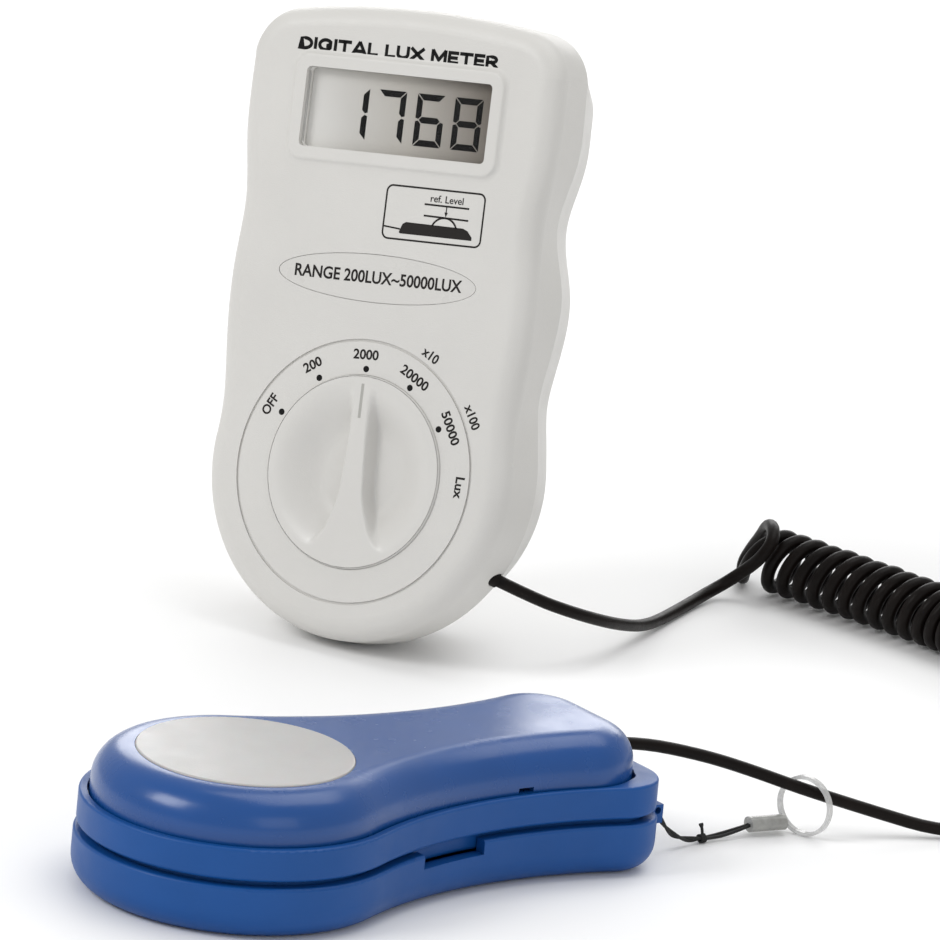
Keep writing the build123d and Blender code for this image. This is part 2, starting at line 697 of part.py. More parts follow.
# ---------------------------------------------------------------- sensor: housing
with BuildPart() as sensor_top_shell:
    extrude(spoon(15.6, TOP_OUTLINE), amount=SENSOR_TOP - 15.6)
    fillet(sensor_top_shell.edges().group_by(UP)[-1], 6.8)
    with BuildSketch(deck(SENSOR_TOP - 3)):
        Circle(LIGHT_R + 0.08)
    extrude(amount=4, mode=Mode.SUBTRACT)
    add(sensor_room(), mode=Mode.SUBTRACT)
    with BuildSketch(deck(16.4)):
        with Locations(*SENSOR_POSTS):
            Circle(2.8)
    extrude(amount=SENSOR_TOP - 16.4 - 3.2)
    with BuildSketch(deck(16.0)):
        with Locations(*SENSOR_POSTS):
            Circle(0.9)
    extrude(amount=5.5, mode=Mode.SUBTRACT)
    # snap slots just above the band, and the cable's hole
    with BuildSketch(deck(BAND_Z[1] + 0.1)):
        with Locations((52, 0)):
            Rectangle(3.2, 80)
    extrude(amount=0.9, mode=Mode.SUBTRACT)
    with BuildSketch(Plane(SENSOR * Pos(70, 0, CABLE_EXIT_Z) * Rot(0, 90, 0))):
        Circle(1.5)
    extrude(amount=20, mode=Mode.SUBTRACT)
sensor_top_shell.part.label = "sensor_top_shell"
export_step(sensor_top_shell.part, "parts/sensor_top_shell.step")

with BuildPart() as sensor_bottom_shell:
    extrude(spoon(BAND_Z[0], BAND_OUTLINE), amount=BAND_Z[1] - BAND_Z[0])
    fillet(sensor_bottom_shell.edges().group_by(UP)[-1], 0.5)
    fillet(sensor_bottom_shell.edges().group_by(UP)[0], 1.0)
    extrude(spoon(7.4, BAND_OUTLINE, 2.4), amount=5)
    fillet(sensor_bottom_shell.edges().group_by(UP)[0], 1.0)
    extrude(spoon(15.5, TOP_OUTLINE, -0.4), amount=5, mode=Mode.SUBTRACT)
    extrude(spoon(9.2, BAND_OUTLINE, 4.2), amount=10, mode=Mode.SUBTRACT)
    with BuildSketch(deck(8.2)):
        with Locations(*SENSOR_POSTS):
            Circle(2.8)
    extrude(amount=8.0)
    with BuildSketch(deck(7.0)):
        with Locations(*SENSOR_POSTS):
            Circle(1.25)
    extrude(amount=12, mode=Mode.SUBTRACT)
    with BuildSketch(deck(7.0)):
        with Locations(*SENSOR_POSTS):
            Circle(2.1)
    extrude(amount=2.4, mode=Mode.SUBTRACT)
sensor_bottom_shell.part.label = "sensor_bottom_shell"
export_step(sensor_bottom_shell.part, "parts/sensor_bottom_shell.step")

with BuildPart() as sensor_cap:
    extrude(spoon(0, CAP_OUTLINE), amount=CAP_RIM)
    fillet(sensor_cap.edges().group_by(UP)[0], 5.2)
    fillet(sensor_cap.edges().group_by(UP)[-1], 0.6)
    add(cap_room(), mode=Mode.SUBTRACT)
    # thumb notches in the rim, one on each flank
    with BuildSketch(deck(CAP_RIM - 2.6)):
        with Locations((34.2, 0)):
            Rectangle(15.6, 80)
    extrude(amount=5, mode=Mode.SUBTRACT)
    # eyelet for the lanyard
    with BuildSketch(deck(7.2)):
        with Locations(LUG):
            Rectangle(3.0, 3.2)
    extrude(amount=3.5)
    with BuildSketch(Plane(SENSOR * Pos(LUG[0] + 0.35, LUG[1], 9.6) * Rot(90, 0, 0))):
        Circle(0.65)
    extrude(amount=4, both=True, mode=Mode.SUBTRACT)
sensor_cap.part.label = "sensor_cap"
export_step(sensor_cap.part, "parts/sensor_cap.step")

with BuildPart() as light_diffuser:
    with BuildSketch(deck(SENSOR_TOP - 1.6)):
        Circle(LIGHT_R)
    extrude(amount=1.9)
    fillet(light_diffuser.edges().group_by(UP)[-1], 0.4)
    with BuildSketch(deck(SENSOR_TOP - 2.9)):
        Circle(LIGHT_R - 1.0)
    extrude(amount=1.4)
light_diffuser.part.label = "light_diffuser"
export_step(light_diffuser.part, "parts/light_diffuser.step")

with BuildPart() as colour_filter:
    with BuildSketch(deck(20.2)):
        Circle(9.5)
    extrude(amount=1.8)
colour_filter.part.label = "colour_filter"
export_step(colour_filter.part, "parts/colour_filter.step")

with BuildPart() as filter_holder:
    with BuildSketch(deck(14.0)):
        Circle(12.4)
        Rectangle(13.4, 11.4, mode=Mode.SUBTRACT)
    extrude(amount=6.2)
    with BuildSketch(deck(20.2)):
        Circle(12.4)
        Circle(9.6, mode=Mode.SUBTRACT)
    extrude(amount=2.2)
filter_holder.part.label = "filter_holder"
export_step(filter_holder.part, "parts/filter_holder.step")

with BuildPart() as photodiode:
    with BuildSketch(deck(14.0)):
        Rectangle(12, 10)
    extrude(amount=2.4)
    with BuildSketch(deck(16.4)):
        Rectangle(10.4, 8.4)
    extrude(amount=-0.5, mode=Mode.SUBTRACT)
    with BuildSketch(deck(15.9)):
        Rectangle(9.6, 7.6)
    extrude(amount=0.3)
photodiode.part.label = "photodiode"
export_step(photodiode.part, "parts/photodiode.step")

with BuildPart() as sensor_board:
    with BuildSketch(deck(12.4)):
        with Locations((6, 0)):
            RectangleRounded(44, 27, 3)
        with Locations(*SENSOR_POSTS):
            Circle(3.2, mode=Mode.SUBTRACT)
    extrude(amount=1.6)
sensor_board.part.label = "sensor_board"
export_step(sensor_board.part, "parts/sensor_board.step")

with BuildPart() as sensor_screws:
    with BuildSketch(deck(7.6)):
        with Locations(*SENSOR_POSTS):
            Circle(1.9)
    extrude(amount=1.7)
    with BuildSketch(deck(9.2)):
        with Locations(*SENSOR_POSTS):
            Circle(0.9)
    extrude(amount=10.5)
    with BuildSketch(deck(7.5)):
        with Locations(*SENSOR_POSTS):
            Rectangle(2.6, 0.6)
            Rectangle(0.6, 2.6)
    extrude(amount=0.9, mode=Mode.SUBTRACT)
sensor_screws.part.label = "sensor_screws"
export_step(sensor_screws.part, "parts/sensor_screws.step")

with BuildPart() as sensor_bushing:
    bushing_plane = Plane(SENSOR * Pos(74.6, 0, CABLE_EXIT_Z) * Rot(0, 90, 0))
    with BuildSketch(bushing_plane):
        Circle(2.3)
    extrude(amount=1.8)
    with BuildSketch(bushing_plane):
        Circle(1.45)
    extrude(amount=EXIT_X - 74.6)
sensor_bushing.part.label = "sensor_bushing"
export_step(sensor_bushing.part, "parts/sensor_bushing.step")


# ---------------------------------------------------------------- lanyard
with BuildPart() as lanyard:
    add(cable(LANYARD_ROUTE, LANYARD_D, "lanyard"))
lanyard.part.label = "lanyard"
export_step(lanyard.part, "parts/lanyard.step")

with BuildPart() as crimp_sleeve:
    with BuildLine() as crimp_line:
        Line(*CRIMP_ENDS)
    with BuildSketch(route_start(CRIMP_ENDS)):
        Ellipse(CRIMP_R, CRIMP_R * 0.8)
    sweep()
crimp_sleeve.part.label = "crimp_sleeve"
export_step(crimp_sleeve.part, "parts/crimp_sleeve.step")

with BuildPart() as cable_ring:
    ring_axis = (cos(RING_HEADING), sin(RING_HEADING), 0)
    with BuildSketch(Plane(origin=RING_CENTRE, z_dir=ring_axis).offset(-0.5)):
        Circle(RING_R[1])
        Circle(RING_R[0], mode=Mode.SUBTRACT)
    extrude(amount=1.0)
cable_ring.part.label = "cable_ring"
export_step(cable_ring.part, "parts/cable_ring.step")
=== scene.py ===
import json
import math

import bmesh
import bpy
from mathutils import Matrix, Vector


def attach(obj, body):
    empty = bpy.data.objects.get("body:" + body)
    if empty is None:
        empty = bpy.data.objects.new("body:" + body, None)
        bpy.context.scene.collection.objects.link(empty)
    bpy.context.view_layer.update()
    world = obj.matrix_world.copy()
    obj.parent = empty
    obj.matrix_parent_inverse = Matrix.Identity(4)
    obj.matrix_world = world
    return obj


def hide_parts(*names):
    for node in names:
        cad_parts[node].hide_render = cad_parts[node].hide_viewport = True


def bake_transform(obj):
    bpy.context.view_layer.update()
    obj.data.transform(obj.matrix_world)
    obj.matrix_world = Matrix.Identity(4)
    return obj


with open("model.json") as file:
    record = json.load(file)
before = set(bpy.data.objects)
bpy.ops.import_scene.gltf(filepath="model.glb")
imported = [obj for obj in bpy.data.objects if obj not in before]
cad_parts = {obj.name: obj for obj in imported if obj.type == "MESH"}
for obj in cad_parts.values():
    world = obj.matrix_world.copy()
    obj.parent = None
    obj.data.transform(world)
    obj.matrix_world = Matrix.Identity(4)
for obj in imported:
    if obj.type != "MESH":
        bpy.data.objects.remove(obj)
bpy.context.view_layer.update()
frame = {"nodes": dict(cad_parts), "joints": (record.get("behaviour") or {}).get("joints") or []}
MM = 0.001

# ---------------------------------------------------------------- places
joints = {j["name"]: j for j in frame["joints"]}
face_out = Vector(joints["dial_turn"]["axis"]).normalized()
face_up = -Vector(joints["battery_cover_slide"]["axis"]).normalized()
METER = Matrix.Translation(Vector(joints["dial_turn"]["pos_m"])) @ (
    Matrix((face_up.cross(face_out), face_up, face_out)).transposed().to_4x4()
)


def at(x, y, z):
    """A point given in millimetres on the meter's axes: right, up its face, and out of it."""
    return METER @ Vector((x * MM, y * MM, z * MM))


# ---------------------------------------------------------------- camera
camera = bpy.data.objects.new("camera", bpy.data.cameras.new("camera"))
bpy.context.scene.collection.objects.link(camera)
bpy.context.scene.camera = camera
CAMERA_AT = Vector((1.87100, -3.26832, 1.19055))
CAMERA_RIGHT = Vector((0.8530, 0.5138, 0.0918))
CAMERA_BACK = Vector((0.4711, -0.8336, 0.2883))
camera_up = CAMERA_BACK.cross(CAMERA_RIGHT).normalized()
camera_right = camera_up.cross(CAMERA_BACK).normalized()
camera.matrix_world = Matrix.Translation(CAMERA_AT) @ (
    Matrix((camera_right, camera_up, CAMERA_BACK.normalized())).transposed().to_4x4()
)
camera.data.sensor_width = 36
camera.data.lens = 831.8
camera.data.clip_start = 0.1
camera.data.clip_end = 30


# ---------------------------------------------------------------- materials
class Nodes:
    """A small helper that builds one node material."""

    def __init__(self, name):
        self.material = bpy.data.materials.new(name)
        self.material.use_nodes = True
        self.tree = self.material.node_tree
        self.shader = self.tree.nodes["Principled BSDF"]
        self.place = self.add("ShaderNodeTexCoord").outputs["Object"]

    def add(self, kind, **settings):
        node = self.tree.nodes.new(kind)
        for key, value in settings.items():
            setattr(node, key, value)
        return node

    def link(self, source, target):
        self.tree.links.new(source, target)

    def noise(self, scale, detail=3.0, place=None):
        node = self.add("ShaderNodeTexNoise")
        node.inputs["Scale"].default_value = scale
        node.inputs["Detail"].default_value = detail
        self.link(place or self.place, node.inputs["Vector"])
        return node.outputs["Fac"]

    def stretch(self, scale):
        node = self.add("ShaderNodeMapping")
        node.inputs["Scale"].default_value = scale
        self.link(self.place, node.inputs["Vector"])
        return node.outputs["Vector"]

    def span(self, value, low, high, start=0.3, end=0.7):
        node = self.add("ShaderNodeMapRange")
        for key, number in zip(("From Min", "From Max", "To Min", "To Max"), (start, end, low, high)):
            node.inputs[key].default_value = number
        self.link(value, node.inputs["Value"])
        return node.outputs["Result"]

    def blend(self, value, first, second):
        node = self.add("ShaderNodeMix", data_type="RGBA")
        node.inputs["A"].default_value = (*first, 1)
        if isinstance(second, tuple):
            node.inputs["B"].default_value = (*second, 1)
        else:
            self.link(second, node.inputs["B"])
        self.link(value, node.inputs["Factor"])
        return node.outputs["Result"]

    def bump(self, value, distance, strength=1.0, below=None):
        node = self.add("ShaderNodeBump")
        node.inputs["Distance"].default_value = distance
        node.inputs["Strength"].default_value = strength
        self.link(value, node.inputs["Height"])
        if below:
            self.link(below, node.inputs["Normal"])
        return node.outputs["Normal"]

    def set(self, **values):
        for key, value in values.items():
            socket = self.shader.inputs[key.replace("_", " ")]
            if isinstance(value, bpy.types.NodeSocket):
                self.link(value, socket)
            else:
                socket.default_value = value
        return self


def shade(colour, factor):
    """The same colour, darker or lighter."""
    return tuple(min(1.0, c * factor) for c in colour)


def moulded(name, colour, rough, grain, grain_depth, vary=0.05, drift=60, **more):
    """Moulded plastic or rubber: a soft drift of colour, fine grain and uneven gloss."""
    n = Nodes(name)
    tint = n.blend(n.span(n.noise(drift, 4), 0, 1), shade(colour, 1 - vary), shade(colour, 1 + vary))
    skin = n.bump(n.noise(grain, 2), grain_depth)
    skin = n.bump(n.noise(grain * 0.08, 3), grain_depth * 1.5, 0.6, skin)
    gloss = n.span(n.noise(drift * 3, 5), rough - 0.05, rough + 0.05)
    n.set(Base_Color=tint, Roughness=gloss, Normal=skin, **more)
    return n.material


def metal(name, colour, rough, stretch=(900, 900, 9000)):
    """Turned or drawn metal with fine scratches."""
    n = Nodes(name)
    lines = n.noise(1.0, 4, place=n.stretch(stretch))
    n.set(
        Base_Color=n.blend(n.span(n.noise(300, 4), 0, 1), shade(colour, 0.88), shade(colour, 1.06)),
        Metallic=1.0,
        Roughness=n.span(lines, rough - 0.08, rough + 0.08),
        Normal=n.bump(lines, 0.00002),
    )
    return n.material


CASE = (0.615, 0.604, 0.577)
case_plastic = moulded("case_plastic", CASE, 0.42, 5200, 0.00004, vary=0.015)
knob_plastic = moulded("knob_plastic", shade(CASE, 1.01), 0.33, 5200, 0.00002, vary=0.012)
label_film = moulded("label_film", CASE, 0.30, 3000, 0.00001, vary=0.01)
pointer_paint = moulded("pointer_paint", (0.36, 0.355, 0.33), 0.5, 3000, 0.00001)
ink = moulded("ink", (0.004, 0.004, 0.004), 0.6, 4000, 0.00001, vary=0.2, Specular_IOR_Level=0.15)
ink_soft = moulded("ink_soft", (0.016, 0.014, 0.013), 0.6, 4000, 0.00001, vary=0.2,
                   Specular_IOR_Level=0.15)
white_plastic = moulded("white_plastic", (0.80, 0.80, 0.77), 0.45, 3000, 0.00002)
chip_plastic = moulded("chip_plastic", (0.012, 0.012, 0.013), 0.45, 6000, 0.00003, vary=0.2)
trim_plastic = moulded("trim_plastic", (0.02, 0.10, 0.45), 0.3, 3000, 0.00001)
contact_rubber = moulded("contact_rubber", (0.50, 0.22, 0.22), 0.6, 2500, 0.00002, vary=0.15, drift=900)
black_rubber = moulded("black_rubber", (0.0055, 0.0035, 0.0028), 0.40, 2600, 0.00003, vary=0.25, drift=200,
                       Specular_IOR_Level=0.12)
sensor_plastic = moulded("sensor_plastic", (0.003, 0.062, 0.255), 0.25, 4200, 0.000003, vary=0.05,
                         Specular_IOR_Level=0.42, Coat_Weight=0.22, Coat_Roughness=0.28)
cap_plastic = moulded("cap_plastic", (0.004, 0.070, 0.275), 0.42, 4200, 0.00002, vary=0.05,
                      Specular_IOR_Level=0.30)
opal = moulded("opal", (0.44, 0.435, 0.428), 0.35, 2600, 0.00003, vary=0.02, Subsurface_Weight=0.2,
               Subsurface_Scale=0.002)
cord_fabric = moulded("cord_fabric", (0.006, 0.006, 0.006), 0.7, 5000, 0.00006, vary=0.3, drift=2500)
clear_ring = moulded("clear_ring", (0.60, 0.60, 0.59), 0.10, 1500, 0.00002, vary=0.12, drift=900, Alpha=0.62)
clear_sleeve = moulded("clear_sleeve", (0.36, 0.36, 0.34), 0.22, 1800, 0.00005, vary=0.12, drift=700,
                       Alpha=0.88)
diode_black = moulded("diode_black", (0.01, 0.01, 0.03), 0.12, 900, 0.00001, vary=0.3, drift=400)
filter_glass = moulded("filter_glass", (0.10, 0.32, 0.16), 0.05, 900, 0.000005, Alpha=0.7)
lead_vinyl = moulded("lead_vinyl", (0.45, 0.012, 0.012), 0.35, 3000, 0.00001)
steel = metal("steel", (0.60, 0.60, 0.58), 0.32)
nickel = metal("nickel", (0.70, 0.68, 0.64), 0.18)
contact_brass = metal("contact_brass", (0.75, 0.50, 0.20), 0.25)


WINDOW_MID = 66.35  # height of the display window's middle above the dial's axis, in millimetres
WINDOW_HALF = (19.5, 7.35)


def display_painted_reflection():
    """The display, with a painted reflection: silver on the left, darker and browner to the right."""
    slant = METER.to_3x3() @ Vector((1.0, 0.25, 0))
    n = Nodes("lcd")
    across = n.add("ShaderNodeVectorMath", operation="DOT_PRODUCT")
    n.link(n.place, across.inputs[0])
    across.inputs[1].default_value = slant
    middle = at(0, WINDOW_MID, 0).dot(slant)
    # painted reflection: this silver-to-dark gradient stands for how the display reflects light at this
    # view, not its own colour
    ramp = n.add("ShaderNodeValToRGB")
    n.link(n.span(across.outputs["Value"], 0, 1, middle - 21 * MM, middle + 22 * MM), ramp.inputs["Fac"])
    stops = [(0.0, (0.93, 0.92, 0.89)), (0.22, (0.72, 0.705, 0.67)), (0.5, (0.58, 0.555, 0.51)),
             (1.0, (0.16, 0.135, 0.11))]
    while len(ramp.color_ramp.elements) < len(stops):
        ramp.color_ramp.elements.new(0.5)
    for element, (where, colour) in zip(ramp.color_ramp.elements, stops):
        element.position = where
        element.color = (*colour, 1)
    n.set(Base_Color=ramp.outputs["Color"], Roughness=n.span(n.noise(2500), 0.32, 0.42),
          Normal=n.bump(n.noise(9000), 0.000004), Specular_IOR_Level=0.12)
    return n.material


def circuit_board(name):
    """Green solder mask over faint copper tracks."""
    n = Nodes(name)
    cells = n.add("ShaderNodeTexVoronoi", distance="MANHATTAN", feature="DISTANCE_TO_EDGE")
    cells.inputs["Scale"].default_value = 320
    n.link(n.place, cells.inputs["Vector"])
    tracks = n.span(cells.outputs["Distance"], 1, 0, 0.03, 0.06)
    green = n.blend(tracks, (0.012, 0.13, 0.045), (0.03, 0.24, 0.08))
    n.set(Base_Color=green, Roughness=n.span(n.noise(1200), 0.28, 0.4), Normal=n.bump(tracks, 0.00003))
    return n.material


def lens_plastic():
    """The clear window over the display."""
    n = Nodes("clear_lens")
    n.set(Base_Color=(0.02, 0.02, 0.02, 1), Alpha=0.07,
          Roughness=n.span(n.noise(500), 0.02, 0.05), Normal=n.bump(n.noise(90, 1), 0.000002))
    return n.material


def battery_jacket():
    """A printed steel jacket: dark with a copper-coloured band at one end."""
    n = Nodes("battery_jacket")
    along = n.add("ShaderNodeVectorMath", operation="DOT_PRODUCT")
    n.link(n.place, along.inputs[0])
    along.inputs[1].default_value = face_up
    edge = at(0, 16, 0).dot(face_up)
    band = n.span(along.outputs["Value"], 0, 1, edge - 0.05 * MM, edge + 0.05 * MM)
    n.set(Base_Color=n.blend(band, (0.012, 0.013, 0.016), (0.42, 0.20, 0.07)),
          Roughness=n.span(n.noise(700), 0.22, 0.34), Normal=n.bump(n.noise(2500), 0.00001))
    return n.material


def floor_paint():
    """A plain, nearly white floor."""
    n = Nodes("floor")
    n.set(Base_Color=n.blend(n.span(n.noise(3, 4), 0, 1), (0.925, 0.925, 0.925), (0.94, 0.94, 0.94)),
          Roughness=0.85, Normal=n.bump(n.noise(400), 0.00002))
    return n.material


LOOKS = {
    "front_shell": case_plastic, "rear_shell": case_plastic, "battery_door": case_plastic,
    "display_lens": lens_plastic(), "lcd_glass": display_painted_reflection(), "lcd_frame": white_plastic,
    "contact_strips": contact_rubber, "main_board": circuit_board("main_board_mask"),
    "board_screws": steel, "meter_chip": chip_plastic, "trim_pots": trim_plastic,
    "range_label": label_film, "case_screws": steel, "battery": battery_jacket(),
    "battery_terminals": nickel, "battery_snap": chip_plastic, "battery_leads": lead_vinyl,
    "meter_bushing": black_rubber, "sensor_cap": cap_plastic, "crimp_sleeve": clear_sleeve,
    "cable_ring": clear_ring, "dial_pointer": pointer_paint, "switch_rotor": white_plastic,
    "wiper_contacts": contact_brass, "detent_balls": nickel, "detent_springs": steel,
    "sensor_top_shell": sensor_plastic, "sensor_bottom_shell": cap_plastic, "light_diffuser": opal,
    "colour_filter": filter_glass, "filter_holder": chip_plastic, "photodiode": diode_black,
    "sensor_board": circuit_board("sensor_board_mask"), "sensor_screws": steel,
    "sensor_bushing": black_rubber,
}
for node, look in LOOKS.items():
    mesh = frame["nodes"][node].data
    mesh.materials.clear()
    mesh.materials.append(look)


# ---------------------------------------------------------------- pieces
def piece(name, verts, faces, look, body=None, slot=None, smooth=True):
    """A new mesh piece that rides on a body, if it has one."""
    mesh = bpy.data.meshes.new(name)
    mesh.from_pydata([tuple(v) for v in verts], [], faces)
    mesh.validate()
    mesh.update()
    if smooth:
        mesh.shade_smooth()
    mesh.materials.append(look)
    obj = bpy.data.objects.new(name, mesh)
    bpy.context.scene.collection.objects.link(obj)
    if body:
        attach(obj, body)
    return obj


def smooth_line(points, steps=10):
    """Points along the smooth line of a route's control points."""
    curve = bpy.data.curves.new("route", "CURVE")
    curve.dimensions = "3D"
    curve.resolution_u = steps
    spline = curve.splines.new("NURBS")
    spline.points.add(len(points) - 1)
    for point, place in zip(spline.points, points):
        point.co = (*place, 1)
    spline.order_u = 3
    spline.use_endpoint_u = True
    holder = bpy.data.objects.new("route", curve)
    bpy.context.scene.collection.objects.link(holder)
    bpy.context.view_layer.update()
    mesh = bpy.data.meshes.new_from_object(holder)
    line = [v.co.copy() for v in mesh.vertices]
    bpy.data.objects.remove(holder)
    bpy.data.curves.remove(curve)
    bpy.data.meshes.remove(mesh)
    return line


def tube_mesh(line, radius, sides=14, offset=None):
    """Vertices and faces of a closed tube along a line; offset(i, side, up) moves its middle."""
    verts, faces = [], []
    side = Vector((0, 0, 1)).cross(line[1] - line[0])
    if side.length < 1e-9:
        side = Vector((1, 0, 0))
    for i, spot in enumerate(line):
        ahead = (line[min(i + 1, len(line) - 1)] - line[max(i - 1, 0)]).normalized()
        side = (side - ahead * side.dot(ahead)).normalized()
        up = ahead.cross(side)
        middle = spot + (offset(i, side, up) if offset else Vector())
        r = radius(i) if callable(radius) else radius
        for k in range(sides):
            turn = 2 * math.pi * k / sides
            verts.append(middle + side * (r * math.cos(turn)) + up * (r * math.sin(turn)))
    for i in range(len(line) - 1):
        for k in range(sides):
            a, b = i * sides + k, i * sides + (k + 1) % sides
            faces.append((a, b, b + sides, a + sides))
    faces.append(tuple(range(sides - 1, -1, -1)))
    last = (len(line) - 1) * sides
    faces.append(tuple(range(last, last + sides)))
    return verts, faces


# ---------------------------------------------------------------- print on the face
INK = 0.02  # thickness of the print, in millimetres


def plates(outlines, height=0.0):
    """Thin closed plates; each outline is a list of (x, y) in millimetres on the meter's axes."""
    verts, faces = [], []
    for outline in outlines:
        first, count = len(verts), len(outline)
        for z in (height, height + INK):
            verts += [at(x, y, z) for x, y in outline]
        faces.append(tuple(range(first + count - 1, first - 1, -1)))
        faces.append(tuple(range(first + count, first + 2 * count)))
        for k in range(count):
            a, b = first + k, first + (k + 1) % count
            faces.append((a, b, b + count, a + count))
    return verts, faces


def stroke(points, width, closed=False):
    """A thin line of ink through points on the meter's face."""
    spots = [Vector(p) for p in points]
    count = len(spots)
    verts, faces = [], []
    for i, spot in enumerate(spots):
        before = spots[i - 1] if closed or i else spot
        after = spots[(i + 1) % count] if closed or i + 1 < count else spot
        ahead = (after - before).normalized()
        run = (spot - before if before != spot else after - spot).normalized()
        across = Vector((-ahead.y, ahead.x)) * (width / 2 / max(0.45, abs(ahead.dot(run))))
        for edge, z in ((spot + across, 0), (spot - across, 0), (spot - across, INK), (spot + across, INK)):
            verts.append(at(*edge, z))
    for i in range(count if closed else count - 1):
        a, b = 4 * i, 4 * ((i + 1) % count)
        for k in range(4):
            m = (k + 1) % 4
            faces.append((a + k, a + m, b + m, b + k))
    if not closed:
        faces += [(3, 2, 1, 0), tuple(range(4 * count - 4, 4 * count))]
    return verts, faces


def arc(middle, radius, start, end, steps=24):
    turns = [math.radians(start + (end - start) * i / steps) for i in range(steps + 1)]
    return [(middle[0] + radius * math.cos(t), middle[1] + radius * math.sin(t)) for t in turns]


def rounded_box(left, low, right, high, radius):
    corners = [(right - radius, high - radius, 0), (left + radius, high - radius, 90),
               (left + radius, low + radius, 180), (right - radius, low + radius, 270)]
    return [p for x, y, start in corners for p in arc((x, y), radius, start, start + 90, 6)]


def lettering(text, middle, width, cap_height, turn=0.0, bold=0.0, height=0.0):
    """Raised print in the plain built-in face, fitted to a width and a cap height, in mm."""
    curve = bpy.data.curves.new("letters", "FONT")
    curve.body = text
    curve.offset = bold
    curve.extrude = 0.5
    curve.resolution_u = 4
    holder = bpy.data.objects.new("letters", curve)
    bpy.context.scene.collection.objects.link(holder)
    bpy.context.view_layer.update()
    mesh = bpy.data.meshes.new_from_object(holder)
    work = bmesh.new()
    work.from_mesh(mesh)
    bmesh.ops.remove_doubles(work, verts=work.verts, dist=1e-5)
    xs, ys = [v.co.x for v in work.verts], [v.co.y for v in work.verts]
    grow_x, grow_y = width / (max(xs) - min(xs)), cap_height / (max(ys) - min(ys))
    mid_x, mid_y = (max(xs) + min(xs)) / 2, (max(ys) + min(ys)) / 2
    c, s = math.cos(math.radians(turn)), math.sin(math.radians(turn))
    verts = []
    for v in work.verts:
        x, y = (v.co.x - mid_x) * grow_x, (v.co.y - mid_y) * grow_y
        z = height + INK * (v.co.z + 0.5)
        verts.append(at(middle[0] + x * c - y * s, middle[1] + x * s + y * c, z))
    faces = [tuple(v.index for v in f.verts) for f in work.faces]
    work.free()
    bpy.data.objects.remove(holder)
    bpy.data.curves.remove(curve)
    bpy.data.meshes.remove(mesh)
    return verts, faces


def joined(name, parts, look, body, slot, smooth=False):
    """One piece made of several (vertices, faces) parts."""
    verts, faces = [], []
    for more_verts, more_faces in parts:
        first = len(verts)
        verts += more_verts
        faces += [tuple(v + first for v in f) for f in more_faces]
    return piece(name, verts, faces, look, body, slot, smooth)



def bowl_line(x, y, reach_x, reach_y, start, end):
    """Points along part of an ellipse, for a letter's bowl."""
    turns = [math.radians(start + (end - start) * i / 14) for i in range(15)]
    return [(x + reach_x * math.cos(t), y + reach_y * math.sin(t)) for t in turns]


# heavy capitals as strokes in a unit box: (width, lines)
CAPITALS = {
    "D": (0.68, [[(0, 0), (0, 1), *bowl_line(0.24, 0.5, 0.44, 0.5, 90, -90), (0, 0)]]),
    "I": (0.0, [[(0, 0), (0, 1)]]),
    "G": (0.80, [[*bowl_line(0.40, 0.5, 0.40, 0.5, 40, 330), (0.77, 0.42), (0.56, 0.42)]]),
    "T": (0.70, [[(0, 1), (0.70, 1)], [(0.35, 0), (0.35, 1)]]),
    "A": (0.78, [[(0, 0), (0.35, 1)], [(0.43, 1), (0.78, 0)], [(0.22, 0.2), (0.56, 0.2)]]),
    "L": (0.50, [[(0, 1), (0, 0), (0.50, 0)]]),
    "U": (0.68, [[(0, 1), *bowl_line(0.34, 0.36, 0.34, 0.36, 180, 360), (0.68, 1)]]),
    "X": (0.72, [[(0, 0), (0.72, 1)], [(0, 1), (0.72, 0)]]),
    "M": (0.86, [[(0, 0), (0, 1)], [(0.05, 1), (0.43, 0.15), (0.81, 1)], [(0.86, 1), (0.86, 0)]]),
    "E": (0.52, [[(0.52, 1), (0, 1), (0, 0), (0.52, 0)], [(0, 0.5), (0.46, 0.5)]]),
    "R": (0.62, [[(0, 0), (0, 1), *bowl_line(0.30, 0.72, 0.30, 0.28, 90, -90), (0, 0.44)],
                 [(0.28, 0.44), (0.62, 0)]]),
}


def lengthened(points, by):
    """The same line with its two ends drawn out, for square ends."""
    ends = []
    for end, inner in ((points[0], points[1]), (points[-1], points[-2])):
        out = (Vector(end) - Vector(inner)).normalized() * by
        ends.append(tuple(Vector(end) + out))
    return [ends[0], *points[1:-1], ends[1]]


def heavy_title(text, left, low, width, cap_height, weight, letter_gap, word_gap):
    """Capitals drawn as thick strokes, fitted to a width, in millimetres on the face."""
    words_in = text.split()
    gaps = sum(len(w) - 1 for w in words_in) * letter_gap + (len(words_in) - 1) * word_gap
    unit = (width - weight - gaps) / sum(CAPITALS[c][0] for c in text if c != " ")
    x, parts = left + weight / 2, []
    for word in words_in:
        for letter in word:
            across, lines = CAPITALS[letter]
            for line in lines:
                spots = [(x + u * unit, low + weight / 2 + v * (cap_height - weight)) for u, v in line]
                ring = spots[0] == spots[-1]
                parts.append(stroke(spots[:-1] if ring else lengthened(spots, weight / 2), weight, ring))
            x += across * unit + letter_gap
        x += word_gap - letter_gap
    return parts


joined("face_title", heavy_title("DIGITAL LUX METER", -22.1, 76.65, 41.8, 2.5, 0.66, 0.86, 2.1),
       ink, "base", "chip_plastic")
joined("range_lettering",
       [lettering("RANGE 200LUX~50000LUX", (0.2, 36.1), 35.2, 2.35, bold=0.022, height=-0.05)],
       ink_soft, "base", "chip_plastic")

